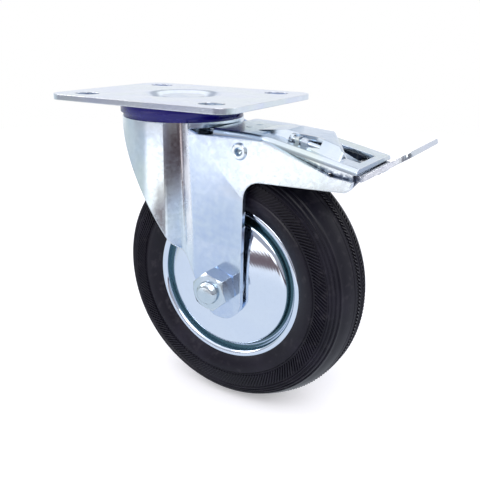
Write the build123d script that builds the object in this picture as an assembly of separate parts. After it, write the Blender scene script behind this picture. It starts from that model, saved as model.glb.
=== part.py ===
from build123d import *
import os
from math import atan2, cos, degrees, radians, sin, sqrt, tan

# Swivel castor with a solid rubber wheel and a pedal that brakes wheel and swivel together.
# Frame: origin on the swivel axis at the mounting face of the top plate, +Z up,
# +X to the trailing side (wheel and brake pedal), Y along the wheel axle. Millimetres.

os.makedirs("parts", exist_ok=True)

# ---------------------------------------------------------------- driving dimensions
# wheel
wheel_radius = 62.5
tyre_half_width = 17.0
trail = 33.8                    # swivel axis to wheel axle, along X
tyre_clearance = 0.83           # tyre to its nearest neighbour, the brake lever's pivot rivet

# top plate
plate_length = 100.0
plate_width = 80.0
plate_sheet = 2.5
plate_corner = 9.0
bolt_spacing_x = 70.0
bolt_spacing_y = 56.0
slot_length = 12.0
slot_width = 9.0
dish_mouth_radius = 19.0
dish_floor_radius = 14.5
dish_depth = 4.0
dish_bend = 1.5

# swivel head
head_gap = 7.5                  # plate underside to crown top
kingpin_head_radius = 11.5
kingpin_head_height = 3.0
kingpin_shoulder_radius = 7.5
kingpin_radius = 6.0
kingpin_nut_across = 16.0
kingpin_nut_height = 5.0
kingpin_stub = 0.8
upper_ball_radius = 3.97
upper_ball_pitch = 23.0
upper_ball_count = 16
lower_ball_radius = 2.0
lower_ball_pitch = 12.2
lower_ball_count = 16
race_clearance = 0.08
race_depth = 0.3
seal_radius = 28.6
seal_lip_radius = 29.8
seal_wall = 1.3
seal_gap = 0.3
cup_sheet = 2.0
cup_wall_radius = 16.4
lock_radius = 20.0
lock_root_radius = 16.9
lock_notches = 24
lock_notch_width = 2.6

# fork
fork_sheet = 2.5
crown_radius = 29.0
crown_hole_radius = 9.0
side_half_width = 23.0          # outer faces of ears and upper legs
foot_half_width = 20.2          # outer faces of the legs at the axle
front_end_angle = 69.0          # where the round front ends, degrees round from +X
valley_x = 13.6                 # pressed valley between round front and flat side
valley_depth = 1.6
valley_depth_foot = 0.3
ridge_x = 18.0
front_end_bend = 2.0            # inner bend radii of the three folds
valley_bend = 2.0
ridge_bend = 1.0
lean_top = -14.8                # the legs start to lean in here at the front
lean_top_rear = -41.5           # and here at the rear edge
lean_stop = 20.4                # above the axle, where the lean ends
skirt_bottom = -14.5
front_edge_top_x = -21.0
front_edge_foot = 18.3          # the raking front edge ends this far ahead of the axle
front_edge_rise = 10.4          # and this far above it
foot_front = 5.9                # leg ahead of the axle centre
foot_depth = 16.0               # leg below the axle centre
foot_rear = 11.4                # leg behind the axle centre
foot_corner = 9.8
leg_bend = 18.4                 # above the axle, where the rear edge starts to rake back to the knee
knee_rake = 3.2
knee_corner = 8.0
ear_bottom = -32.0
ear_end_x = 96.5
ear_end_bottom = -30.6
ear_end_top = -26.1
ear_rake = 0.8
ear_corner = 3.2
side_top_front_x = 23.5
side_top_front_z = -14.2
side_top_rear_x = 56.8
side_top_rear_z = -14.1
side_top_low_x = 87.0
side_top_low_z = -25.0

# wheel axle
axle_radius = 5.0
axle_clearance = 0.12
axle_nut_across = 17.0
axle_nut_height = 9.3
axle_head_height = 6.4
axle_end = 32.4                 # threaded end, from the middle of the wheel

# hub and rim
sleeve_radius = 6.2
hub_bore_radius = 9.6
hub_radius = 11.0
hub_half_length = 16.1
washer_radius = 10.2
washer_sheet = 1.2
roller_radius = 1.6
roller_count = 10
roller_half_length = 13.0
cage_half_length = 14.6
running_gap = 0.1
rim_sheet = 1.5
rim_radius = 38.2
rim_edge_y = 13.9
dome_radius = 32.3
dome_edge_y = 13.4
dome_hub_y = 16.0
groove_radius = 34.55
disc_bend = 0.3
groove_y = 9.6

# brake lever
lever_sheet = 2.0
lever_gap = 0.5                 # between each ear and the lever
lever_fold = 0.6                # inner radius of its long folds
lever_front_x = 30.2
lever_front_z = -11.5
lever_bend_x = 53.7
lever_bend_z = -12.3
lever_bend_radius = 70.0
lever_rear_x = 97.0
lever_rear_z = -21.65
flange_rear_x = 95.6            # lower edge of the lever's sides, from rear to front
flange_rear_z = -27.6
flange_pin_x = 91.0
flange_pin_z = -30.2
flange_bar_x = 78.0
flange_bar_z = -29.6
flange_shoe_x = 66.0
flange_shoe_z = -26.0
flange_level_x = 50.0
flange_level_z = -23.4
flange_nose_x = 39.0
flange_nose_depth = 3.6
lever_tilt = 3.0                # released to locked, degrees
pivot_x = 45.7
pivot_z = -19.4
pivot_radius = 2.75
pivot_bore = 1.9
pivot_flare = 3.8
pivot_head = 1.1
hole_clearance = 0.06
window_far_x = 78.0             # the window's front edge is set askew: its far end
window_near_x = 88.4            # and its near end
window_rear_x = 94.0
window_half_width = 9.2
flap_front_x = 79.0             # tongue under the window, on its near side
flap_rear_x = 90.5
flap_rear_z = -23.4
flap_far_y = 3.0
hump_front_x = 47.0
hump_front_z = -11.9
hump_crest_x = 60.0
hump_crest_z = -10.9
hump_low_x = 75.0
hump_low_z = -12.4
hump_rear_lean = 0.53           # the rear face moves forward this much for each unit of height
hump_rear_gap = 0.6             # flat strip between the rear face and the window
hump_top_half_width = 7.5
hump_side_slope = 1.16          # width gained per unit of drop
hump_round = 1.6

# pedal
pedal_sheet = 2.0
pedal_gap = 0.4                 # between the lever's sides and the pedal's root
pedal_setback = 3.5             # the tread's edges lie this far inside the ears' outer faces
pedal_slope = 33.2              # degrees above level when released
pedal_turn = 19.0               # on its pin, released to locked
pedal_wall_x = 95.6             # front face of the wall that closes the lever's end
pedal_under_x = 97.0            # a point on the underside of the tread plate
pedal_under_z = -27.8
pedal_end_x = 117.6
pedal_widens_x = 103.6
pedal_corner = 4.0
pedal_wall_top = -24.4
pedal_bend = 0.3
pedal_pin_x = 92.5
pedal_pin_z = -27.7
pedal_pin_radius = 1.5
cheek_boss = 2.95
stop_bar_x = 86.05
stop_bar_z = -27.8
stop_bar_radius = 1.25
stop_bar_skin = 0.6             # sheet left over the bar's ends in the ears' blind seats
stop_bar_play = 0.3
stop_bar_room = 0.75            # round the bar in the slits of the lever's sides
slit_height = 3.7
slit_shoulder = 1.0

# swivel lock leaf
leaf_sheet = 1.2
leaf_half_width = 8.0
leaf_root_x = 43.0
leaf_drop_x = 35.5
leaf_foot_x = 30.0
leaf_front_x = 16.6
leaf_bend = 0.8
tab_height = 1.8
tab_width = 1.8
tab_clearance = 0.15
tab_count = 3
leaf_rivet_radius = 1.6
leaf_rivet_head = 2.9
leaf_rivet_x = 39.6
leaf_rivet_y = 4.5

# brake shoe and its adjuster
shoe_sheet = 2.0
shoe_half_width = 14.5
shoe_from = 57.0                # degrees round the wheel, up from level
shoe_to = 70.0
shoe_gap_locked = 0.12
shoe_arm_front_x = 58.6
shoe_arm_rear_x = 68.5
adjuster_y = -11.0
adjuster_front_x = 63.0
adjuster_rear_x = 78.0
adjuster_slot_half = 2.5
adjuster_radius = 1.3
adjuster_head_radius = 2.2
adjuster_head_length = 1.6
adjuster_lift = 0.7             # screw axis above the lever's top face
adjuster_nut_half = 2.2
adjuster_nut_length = 3.0
adjuster_end_gap = 0.45

# ---------------------------------------------------------------- derived places
plate_bottom = -plate_sheet
crown_top = plate_bottom - head_gap
crown_bottom = crown_top - fork_sheet
dish_bottom = -dish_depth - plate_sheet
upper_ball_z = (plate_bottom + crown_top) / 2
lower_ball_z = crown_bottom - lower_ball_radius + race_depth
cup_top = lower_ball_z - lower_ball_radius + race_depth
cup_bottom = cup_top - cup_sheet
axle_z = pivot_z - sqrt((wheel_radius + tyre_clearance + pivot_radius) ** 2 - (pivot_x - trail) ** 2)
lean_bottom = axle_z + lean_stop
leg_bend_z = axle_z + leg_bend
knee_x = trail + foot_rear + knee_rake
front_edge_foot_x = trail - front_edge_foot
front_edge_foot_z = axle_z + front_edge_rise
foot_front_x = trail - foot_front
foot_bottom = axle_z - foot_depth
foot_rear_x = trail + foot_rear
foot_inner = foot_half_width - fork_sheet
ear_inner = side_half_width - fork_sheet
lever_half_width = ear_inner - lever_gap
lever_inner = lever_half_width - lever_sheet
pedal_root_half_width = lever_inner - pedal_gap
pedal_half_width = side_half_width - pedal_setback
lever_slope = atan2(lever_bend_z - lever_rear_z, lever_rear_x - lever_bend_x)   # rear part, radians
wide = 2 * plate_width          # longer than anything across the castor


def save(shape, node):
    """Writes one sub-part: one solid, or a group of like solids."""
    shape.label = node
    export_step(shape, f"parts/{node}.step")


def upright(radius, bottom, top, x=0.0, y=0.0):
    """A round bar standing between two heights."""
    return Pos(x, y, bottom) * Cylinder(radius, top - bottom, align=(Align.CENTER, Align.CENTER, Align.MIN))


def across(radius, x, z, y_from, y_to):
    """A round bar lying across the castor."""
    return Pos(x, y_from, z) * Rot(-90, 0, 0) * Cylinder(radius, y_to - y_from,
                                                         align=(Align.CENTER, Align.CENTER, Align.MIN))


def side_prism(face, half_width):
    """A side-view face (drawn as X and Z) made solid, equally to both sides of the middle."""
    return extrude(Plane.XZ * face, amount=half_width, both=True)


def polygon(*points):
    return make_face(Polyline(*points, close=True))


def turned(*points):
    """A piece turned about the swivel axis from points of radius and height."""
    return revolve(Plane.XZ * polygon(*points), Axis.Z)


def about_axle(face):
    """A piece turned about the wheel axle from a face drawn as radius and place along the axle."""
    return revolve(Pos(trail, 0, axle_z) * face, Axis((trail, 0, axle_z), (0, 1, 0)))


def ball_track(pitch, height, radius):
    """The ring-shaped path that bearing balls sweep, with running clearance."""
    return Pos(0, 0, height) * Torus(pitch, radius + race_clearance)


def ball_ring(pitch, height, radius, count):
    turns = [360 / count * i for i in range(count)]
    return Compound(children=[Rot(0, 0, turn) * Pos(pitch, 0, height) * Sphere(radius) for turn in turns])


# ---------------------------------------------------------------- folded sheet
def offset_path(points, distance):
    """The same open path moved sideways to its left, with mitred corners."""
    steps = [Vector(*b) - Vector(*a) for a, b in zip(points, points[1:])]
    lefts = [Vector(-step.Y, step.X).normalized() * distance for step in steps]
    moved = [Vector(*points[0]) + lefts[0]]
    for point, before, after in zip(points[1:-1], lefts, lefts[1:]):
        mitre = distance ** 2 / (distance ** 2 + before.dot(after))
        moved.append(Vector(*point) + (before + after) * mitre)
    moved.append(Vector(*points[-1]) + lefts[-1])
    return [(p.X, p.Y) for p in moved]


def rounded_path(points, radii):
    """Lines through the points with an arc of the given radius at each inner point."""
    edges = []
    start = Vector(*points[0])
    for before, corner, after, radius in zip(points, points[1:], points[2:], radii):
        corner = Vector(*corner)
        back = (Vector(*before) - corner).normalized()
        on = (Vector(*after) - corner).normalized()
        half = back.get_angle(on) / 2
        reach = radius / tan(radians(half))
        middle = corner + (back + on).normalized() * (radius / sin(radians(half)) - radius)
        edges.append(Line(start, corner + back * reach))
        edges.append(ThreePointArc(corner + back * reach, middle, corner + on * reach))
        start = corner + on * reach
    edges.append(Line(start, Vector(*points[-1])))
    return edges


def bent_strip(points, sheet, bend):
    """Section of folded sheet lying to the left of a path, with one inner bend radius."""
    other = offset_path(points, sheet)
    near, far = [], []
    for a, b, c in zip(points, points[1:], points[2:]):
        left_turn = (b[0] - a[0]) * (c[1] - b[1]) - (b[1] - a[1]) * (c[0] - b[0]) > 0
        near.append(bend + sheet if left_turn else bend)
        far.append(bend if left_turn else bend + sheet)
    edges = rounded_path(points, near) + rounded_path(other, far)
    edges += [Line(points[0], other[0]), Line(points[-1], other[-1])]
    return make_face(edges)


# ---------------------------------------------------------------- top plate and swivel head
def make_top_plate():
    """Pressed plate: slotted corners, a dish for the kingpin head and a ball track underneath."""
    plate = extrude(RectangleRounded(plate_length, plate_width, plate_corner), amount=-plate_sheet)
    for place in GridLocations(bolt_spacing_x, bolt_spacing_y, 2, 2):
        plate -= place * Pos(0, 0, -2 * plate_sheet) * extrude(SlotOverall(slot_length, slot_width),
                                                              amount=4 * plate_sheet)
    reach = dish_mouth_radius + 2 * plate_sheet
    plate -= upright(reach, -reach, reach)
    path = [(kingpin_radius, -dish_depth), (dish_floor_radius, -dish_depth), (dish_mouth_radius, 0),
            (reach, 0)]
    dish = bent_strip([(r, z - plate_sheet) for r, z in path], plate_sheet, dish_bend)
    plate += revolve(Plane.XZ * dish, Axis.Z)
    return plate - ball_track(upper_ball_pitch, upper_ball_z, upper_ball_radius)


def make_kingpin():
    """Head sunk in the dish, a shoulder that sets the bearing play, and a stub for the nut."""
    head_top = kingpin_head_height - dish_depth
    end = cup_bottom - kingpin_nut_height - kingpin_stub
    return turned((0, head_top), (kingpin_head_radius - 1.2, head_top), (kingpin_head_radius, head_top - 1),
                  (kingpin_head_radius, -dish_depth), (kingpin_radius, -dish_depth),
                  (kingpin_radius, dish_bottom), (kingpin_shoulder_radius, dish_bottom),
                  (kingpin_shoulder_radius, cup_top), (kingpin_radius, cup_top),
                  (kingpin_radius, end + 0.8), (kingpin_radius - 0.8, end), (0, end))


def hex_block(across_flats, height, crown):
    """A hexagon prism on the XY plane whose outer corners are turned off at the top."""
    corner = across_flats / sqrt(3)
    turned_form = turned((0, 0), (corner + 0.1, 0), (corner + 0.1, height - crown),
                         (across_flats / 2 - 0.3, height), (0, height))
    return extrude(RegularPolygon(across_flats / 2, 6, major_radius=False), amount=height) & turned_form


def make_kingpin_nut():
    nut = hex_block(kingpin_nut_across, kingpin_nut_height, 1.0)
    nut -= upright(kingpin_radius, -1, 2 * kingpin_nut_height)
    return Pos(0, 0, cup_bottom) * Rot(180, 0, 0) * nut


def make_lock_cup():
    """Lower ball cup on the kingpin; notches in its turned-out rim take the lock tabs."""
    wall_top = crown_bottom - 0.8
    wall_inner = cup_wall_radius - cup_sheet
    cup = turned((kingpin_radius, cup_top), (wall_inner, cup_top), (wall_inner, wall_top),
                 (cup_wall_radius, wall_top), (cup_wall_radius, cup_top), (lock_radius, cup_top),
                 (lock_radius, cup_bottom), (kingpin_radius, cup_bottom))
    cup -= ball_track(lower_ball_pitch, lower_ball_z, lower_ball_radius)
    notch = Pos(lock_root_radius, 0, cup_bottom - 1) * Box(
        lock_radius, lock_notch_width, cup_sheet + 1.5, align=(Align.MIN, Align.CENTER, Align.MIN))
    for i in range(lock_notches):
        cup -= Rot(0, 0, 360 / lock_notches * i) * notch
    return cup


def make_seal_ring():
    """Soft ring on the crown's rim that keeps dirt out of the upper balls."""
    top = plate_bottom - seal_gap
    inner = seal_radius - seal_wall
    return turned((inner, crown_top), (seal_radius, crown_top), (seal_radius, crown_top + 1.6),
                  (seal_lip_radius, crown_top + 2.2), (seal_lip_radius, top - 1.6),
                  (seal_lip_radius - 0.8, top), (inner, top))


# ---------------------------------------------------------------- fork
def fork_section(inset, lean, kink_x, kink_half_width):
    """Plan of the fork: round front, pressed valley, ridge, then a side with one soft kink."""
    half_width = side_half_width + lean * (foot_half_width - side_half_width)
    depth = valley_depth + lean * (valley_depth_foot - valley_depth)
    angle = radians(front_end_angle)
    path = [(crown_radius * cos(angle), crown_radius * sin(angle)), (valley_x, half_width - depth),
            (ridge_x, half_width), (plate_length, half_width)]
    end, valley, ridge, _ = offset_path(path, -inset) if inset else path
    radius = crown_radius - inset
    slope = (Vector(*end) - Vector(*valley)).normalized()
    along = Vector(*valley).dot(slope)
    rise = sqrt(along ** 2 + radius ** 2 - Vector(*valley).length ** 2) - along
    end = Vector(*valley) + slope * rise
    rear_x = 2 * plate_length + inset
    right = [Vector(end.X, end.Y), Vector(*valley), Vector(*ridge), Vector(kink_x, kink_half_width - inset),
             Vector(rear_x, kink_half_width - inset)]
    left = [Vector(p.X, -p.Y) for p in right]
    edges = [ThreePointArc(left[0], (-radius, 0), right[0])]
    edges += [Line(a, b) for a, b in zip(right, right[1:])]
    edges += [Line(right[-1], left[-1])]
    edges += [Line(a, b) for a, b in zip(left[::-1], left[::-1][1:])]
    face = make_face(edges).face()
    outer = inset == 0
    radii = [front_end_bend + (fork_sheet if outer else 0), valley_bend + (0 if outer else fork_sheet),
             ridge_bend + (fork_sheet if outer else 0)]
    for side in (left, right):
        for point, bend in zip(side, radii):
            face = face.fillet_2d(bend, [face.vertices().sort_by_distance(point)[0]])
    return face


def fork_form(inset, top):
    """Outer form of the fork, or its hollow when inset by the sheet."""
    bottom = axle_z - wheel_radius
    middle = (lean_top - lean_top_rear) / (lean_top - lean_bottom)
    upper = fork_section(inset, 0.0, ridge_x + 5, side_half_width)
    knee = fork_section(inset, middle, knee_x, side_half_width)
    lower = fork_section(inset, 1.0, knee_x, foot_half_width)
    form = Pos(0, 0, lean_top) * extrude(upper, amount=top - lean_top)
    form += loft([Pos(0, 0, lean_top) * upper, Pos(0, 0, lean_top_rear) * knee], ruled=True)
    form += loft([Pos(0, 0, lean_top_rear) * knee, Pos(0, 0, lean_bottom) * lower], ruled=True)
    return form + Pos(0, 0, bottom) * extrude(lower, amount=lean_bottom - bottom)


def fork_outline():
    """Side view: crown, raking front edge, rounded foot, knee and rearward ear."""
    outline = polygon((-crown_radius - 2, crown_top), (-crown_radius - 2, skirt_bottom),
                      (front_edge_top_x, skirt_bottom), (front_edge_foot_x, front_edge_foot_z),
                      (foot_front_x, foot_bottom), (foot_rear_x, foot_bottom), (foot_rear_x, leg_bend_z),
                      (knee_x, ear_bottom),
                      (ear_end_x - ear_rake, ear_end_bottom), (ear_end_x, ear_end_top),
                      (ear_end_x, crown_top)).face()
    corners = [(foot_front_x, foot_bottom, foot_corner), (foot_rear_x, foot_bottom, foot_corner),
               (knee_x, ear_bottom, knee_corner), (ear_end_x - ear_rake, ear_end_bottom, ear_corner)]
    for x, z, radius in corners:
        outline = outline.fillet_2d(radius, [outline.vertices().sort_by_distance((x, z, 0))[0]])
    return outline


def make_fork():
    """One deep-drawn piece: crown with two ball tracks, round front, two legs and two ears."""
    blank = fork_form(0, crown_top) - fork_form(fork_sheet, crown_bottom)
    fork = blank & side_prism(fork_outline(), wide)
    above = side_prism(polygon((ridge_x + 1, 0), (ridge_x + 1, crown_bottom),
                               (side_top_front_x, side_top_front_z), (side_top_rear_x, side_top_rear_z),
                               (side_top_low_x, side_top_low_z), (ear_end_x, ear_end_top),
                               (ear_end_x + ear_rake, ear_end_top), (ear_end_x + ear_rake, 0)), wide)
    fork -= above - upright(crown_radius, crown_bottom, 0)
    fork -= upright(crown_hole_radius, crown_bottom - 1, 0)
    fork -= ball_track(upper_ball_pitch, upper_ball_z, upper_ball_radius)
    fork -= ball_track(lower_ball_pitch, lower_ball_z, lower_ball_radius)
    fork -= across(axle_radius + axle_clearance, trail, axle_z, -wide, wide)
    fork -= across(pivot_radius + hole_clearance, pivot_x, pivot_z, -wide, wide)
    return fork - make_stop_bar()


# ---------------------------------------------------------------- axle, hub and wheel
def make_axle_bolt():
    """Hexagon bolt from the far side; its threaded end stands out of the nut."""
    head = Pos(0, foot_half_width, 0) * Rot(-90, 0, 0) * hex_block(axle_nut_across, axle_head_height, 1.2)
    shank = across(axle_radius, 0, 0, -axle_end, foot_half_width)
    shank = chamfer(shank.faces().sort_by(Axis.Y)[0].edges(), 1.0)
    return Pos(trail, 0, axle_z) * (head + shank)


def make_axle_nut():
    nut = hex_block(axle_nut_across, axle_nut_height, 1.4) - upright(axle_radius, -1, 2 * axle_nut_height)
    return Pos(trail, -foot_half_width, axle_z) * Rot(90, 0, 0) * nut


def make_axle_sleeve():
    """Hardened tube clamped between the legs; the rollers run on it."""
    return (across(sleeve_radius, trail, axle_z, -foot_inner, foot_inner)
            - across(axle_radius + axle_clearance, trail, axle_z, -wide, wide))


def make_hub_washers():
    """One washer inside each leg that takes the side thrust of the hub."""
    both = across(washer_radius, trail, axle_z, -foot_inner, foot_inner)
    both -= across(washer_radius + 1, trail, axle_z, washer_sheet - foot_inner, foot_inner - washer_sheet)
    both -= across(sleeve_radius + 0.05, trail, axle_z, -wide, wide)
    return Compound(children=both.solids())


def make_hub_tube():
    return (across(hub_radius, trail, axle_z, -hub_half_length, hub_half_length)
            - across(hub_bore_radius, trail, axle_z, -wide, wide))


def hub_ring_of_bars(radius, half_length):
    """Bars standing round the sleeve: the rollers themselves, or their pockets."""
    pitch = (sleeve_radius + hub_bore_radius) / 2
    return [Pos(trail, 0, axle_z) * Rot(0, 360 / roller_count * i, 0) * across(radius, pitch, 0,
                                                                              -half_length, half_length)
            for i in range(roller_count)]


def make_roller_cage():
    """Moulded cage with one pocket for each roller."""
    cage = across(hub_bore_radius - 0.25, trail, axle_z, -cage_half_length, cage_half_length)
    cage -= across(sleeve_radius + 0.25, trail, axle_z, -wide, wide)
    for pocket in hub_ring_of_bars(roller_radius + running_gap, roller_half_length + running_gap):
        cage -= pocket
    return cage


def make_hub_rollers():
    return Compound(children=hub_ring_of_bars(roller_radius, roller_half_length))


def make_rim_disc():
    """The far pressed disc: domed centre, narrow groove and a lip that grips the tyre."""
    path = [(rim_radius, rim_edge_y), (rim_radius - 1.8, rim_edge_y), (groove_radius + 0.75, groove_y),
            (groove_radius - 0.75, groove_y), (dome_radius, dome_edge_y),
            (dome_radius - 7, dome_edge_y + 1.3), (hub_radius + 4, dome_hub_y), (hub_radius, dome_hub_y)]
    return about_axle(bent_strip(path, rim_sheet, disc_bend))


def make_tyre():
    """Solid rubber tyre: a tongue held between the discs, bulging walls and a rounded tread."""
    tongue_y = groove_y - rim_sheet - 0.1
    seat_y = rim_edge_y - rim_sheet - 0.1
    root = [(groove_radius - 2.6, 0), (groove_radius - 2.6, tongue_y), (groove_radius + 2.2, tongue_y),
            (rim_radius - 0.4, seat_y), (rim_radius + 0.1, seat_y), (rim_radius + 0.1, rim_edge_y + 0.2)]
    wall = [root[-1], (rim_radius + 8.5, tyre_half_width), (rim_radius + 16, tyre_half_width - 0.6),
            (wheel_radius - 3.4, 0.69 * tyre_half_width), (wheel_radius - 0.9, 0.38 * tyre_half_width),
            (wheel_radius, 0)]
    edges = [Line(a, b) for a, b in zip(root, root[1:])] + [Spline(*wall, tangents=[(0.8, 0.6), (0, -1)])]
    edges += [mirror(edge, Plane.XZ) for edge in edges]
    return about_axle(make_face(edges))


# ---------------------------------------------------------------- brake lever
def lever_line(x):
    """Height of the lever's top face along its middle, its one bend taken as sharp."""
    if x < lever_bend_x:
        share = (x - lever_front_x) / (lever_bend_x - lever_front_x)
        return lever_front_z + (lever_bend_z - lever_front_z) * share
    return lever_bend_z - (x - lever_bend_x) * tan(lever_slope)


def lever_place(x, y, lift=0.0):
    """A place on the lever's top face, tilted with it; Z leaves the sheet."""
    slope = degrees(atan2(lever_line(x - 0.1) - lever_line(x + 0.1), 0.2))
    return Pos(x, y, lever_line(x)) * Rot(0, slope, 0) * Pos(0, 0, lift)


def lever_block(half_width, down, overrun, fold):
    """The lever's full form, or its inside when lowered by the sheet and overrunning the ends."""
    front, rear = lever_front_x - overrun, lever_rear_x + overrun
    roof = [(front, lever_line(front) - down), (lever_bend_x, lever_bend_z - down),
            (rear, lever_line(rear) - down)]
    flange_end = roof[2][1] - lever_sheet * 1.1
    flange = [(rear, flange_end), (flange_rear_x, flange_end), (flange_rear_x, flange_rear_z),
              (flange_pin_x, flange_pin_z), (flange_bar_x, flange_bar_z), (flange_shoe_x, flange_shoe_z),
              (flange_level_x, flange_level_z), (flange_nose_x, flange_level_z),
              (front, roof[0][1] - flange_nose_depth)]
    if overrun:
        flange = [(rear, axle_z), (front, axle_z)]
    border = [roof[2]] + flange + [roof[0]]
    edges = rounded_path(roof, [lever_bend_radius]) + [Line(a, b) for a, b in zip(border, border[1:])]
    block = side_prism(make_face(edges), half_width)
    roof_faces = [face for face in block.faces() if face.normal_at().Z > 0.9]
    long_edges = [edge for face in roof_faces for edge in face.edges()
                  if abs(abs(edge.center().Y) - half_width) < 0.01]
    return fillet(long_edges, fold)


def hump_rear(inset):
    """Plane of the hump's rear face, steep and as askew as the window's front edge."""
    far_x = window_far_x - hump_rear_gap
    near_x = window_near_x - hump_rear_gap
    far = Vector(far_x, window_half_width, lever_line(far_x))
    near = Vector(near_x, -window_half_width, lever_line(near_x))
    return Plane(origin=far, z_dir=Vector(-hump_rear_lean, 0, 1).cross(near - far)).offset(-inset)


def hump_block(inset):
    """Pressed hump over the adjuster: arched top, leaning sides and a steep rear face."""
    base = lever_line(window_near_x) - inset
    end_z = hump_low_z - (window_near_x - hump_low_x) * tan(lever_slope)
    side = polygon((hump_front_x, hump_front_z - inset), (hump_crest_x, hump_crest_z - inset),
                   (hump_low_x, hump_low_z - inset), (window_near_x, end_z - inset),
                   (window_near_x, base), (hump_front_x, base))
    half = hump_top_half_width - 0.5 * inset
    foot = half + hump_side_slope * (hump_crest_z - inset - base)
    section = Plane.YZ * polygon((-half, hump_crest_z - inset), (half, hump_crest_z - inset), (foot, base),
                                 (-foot, base))
    block = side_prism(side, wide) & Pos(hump_front_x, 0, 0) * extrude(section, amount=wide)
    block = split(block, bisect_by=hump_rear(inset), keep=Keep.BOTTOM)
    rim = [edge for edge in block.edges()
           if edge.center().X > hump_crest_x and edge.center().Z > base + 0.6
           and edge.center().Z > lever_line(edge.center().X) - inset]
    return fillet(rim, 0.4 if inset else hump_round)


def make_brake_lever():
    """Pressed channel hinged between the ears, with hump, adjuster slot and rear window."""
    lever = lever_block(lever_half_width, 0, 0, lever_fold + lever_sheet) + hump_block(0)
    lever -= lever_block(lever_inner, lever_sheet, 5 * lever_sheet, lever_fold)
    lever -= hump_block(lever_sheet)
    window = polygon((window_rear_x, -window_half_width), (window_rear_x, window_half_width),
                     (window_far_x, window_half_width), (window_near_x, -window_half_width))
    lever -= extrude(window, amount=wide, both=True)
    flap_top = lever_line(flap_front_x) - lever_sheet / 3
    flap = polygon((flap_front_x, flap_top), (flap_rear_x, flap_rear_z),
                   (flap_rear_x - 0.8, flap_rear_z - lever_sheet), (flap_front_x, flap_top - lever_sheet))
    lever += side_prism(flap, window_half_width) - Pos(0, flap_far_y, 0) * Box(
        2 * wide, wide, wide, align=(Align.CENTER, Align.MIN, Align.CENTER))
    adjuster_middle = (adjuster_front_x + adjuster_rear_x) / 2
    lever -= Pos(adjuster_middle, adjuster_y, 0) * Box(adjuster_rear_x - adjuster_front_x,
                                                       2 * adjuster_slot_half, wide)
    lever -= across(pivot_radius + hole_clearance, pivot_x, pivot_z, -wide, wide)
    lever -= across(pedal_pin_radius, pedal_pin_x, pedal_pin_z, -wide, wide)
    slit = stop_bar_radius + stop_bar_room
    slit_top = stop_bar_z + slit_height
    slit_face = polygon((stop_bar_x - slit, axle_z), (stop_bar_x - slit, slit_top - slit_shoulder),
                        (stop_bar_x - slit + slit_shoulder, slit_top),
                        (stop_bar_x + slit - slit_shoulder, slit_top),
                        (stop_bar_x + slit, slit_top - slit_shoulder), (stop_bar_x + slit, axle_z))
    lever -= side_prism(slit_face, wide)
    for y in (-leaf_rivet_y, leaf_rivet_y):
        lever -= lever_place(leaf_rivet_x, y) * Cylinder(leaf_rivet_radius, wide)
    return lever


def make_brake_pivot():
    """Tubular rivet through both ears, flared at its ends."""
    end = side_half_width + pivot_head
    rivet = across(pivot_radius, pivot_x, pivot_z, -end, end)
    flare = Pos(pivot_x, side_half_width, pivot_z) * Rot(-90, 0, 0) * Cone(
        pivot_flare, pivot_flare - 0.7, pivot_head, align=(Align.CENTER, Align.CENTER, Align.MIN))
    rivet += [flare, mirror(flare, Plane.XZ)]
    return rivet - across(pivot_bore, pivot_x, pivot_z, -wide, wide)


def make_stop_bar():
    """Bar with its ends set blind in both ears; the pedal's cheeks pull against it."""
    end_y = side_half_width - stop_bar_skin
    return across(stop_bar_radius, stop_bar_x, stop_bar_z, -end_y, end_y)


# ---------------------------------------------------------------- swivel lock leaf
def make_lock_leaf():
    """Leaf under the lever that reaches below the lock cup and carries the lock tabs."""
    top = cup_bottom - tab_clearance - tab_height
    path = [(leaf_root_x, lever_line(leaf_root_x) - lever_sheet),
            (leaf_drop_x, lever_line(leaf_drop_x) - lever_sheet), (leaf_foot_x, top), (leaf_front_x, top)]
    leaf = side_prism(bent_strip(path, leaf_sheet, leaf_bend), leaf_half_width)
    length = lock_radius - 0.6 - lock_root_radius - 0.4
    for i in range(tab_count):
        turn = 360 / lock_notches * (i - (tab_count - 1) / 2)
        leaf += Rot(0, 0, turn) * Pos(lock_root_radius + 0.4, 0, top - 0.2) * Box(
            length, tab_width, tab_height + 0.2, align=(Align.MIN, Align.CENTER, Align.MIN))
    for y in (-leaf_rivet_y, leaf_rivet_y):
        leaf -= lever_place(leaf_rivet_x, y) * Cylinder(leaf_rivet_radius, wide)
    return leaf


def make_leaf_rivets():
    """Two rivets that hold the leaf under the lever."""
    grip = lever_sheet + leaf_sheet
    rivets = []
    for y in (-leaf_rivet_y, leaf_rivet_y):
        shank = Pos(0, 0, -grip / 2) * Cylinder(leaf_rivet_radius, grip)
        head = Cone(leaf_rivet_head, leaf_rivet_head - 1.2, 1.1,
                    align=(Align.CENTER, Align.CENTER, Align.MIN))
        tail = Pos(0, 0, -grip - 0.8) * Cylinder(leaf_rivet_head - 0.5, 0.8,
                                                 align=(Align.CENTER, Align.CENTER, Align.MIN))
        rivets.append(lever_place(leaf_rivet_x, y) * (shank + head + tail))
    return Compound(children=rivets)


# ---------------------------------------------------------------- brake shoe and adjuster
def on_wheel(radius, angle):
    """A side-view point round the wheel, as it stands to the lever when the lever is released."""
    x = trail + radius * cos(radians(angle)) - pivot_x
    z = axle_z + radius * sin(radians(angle)) - pivot_z
    tilt = radians(lever_tilt)
    return (pivot_x + x * cos(tilt) - z * sin(tilt), pivot_z + x * sin(tilt) + z * cos(tilt))


def shoe_under(x):
    """Underside of the lever's rear slope."""
    return lever_line(x) - lever_sheet / cos(lever_slope)


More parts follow.
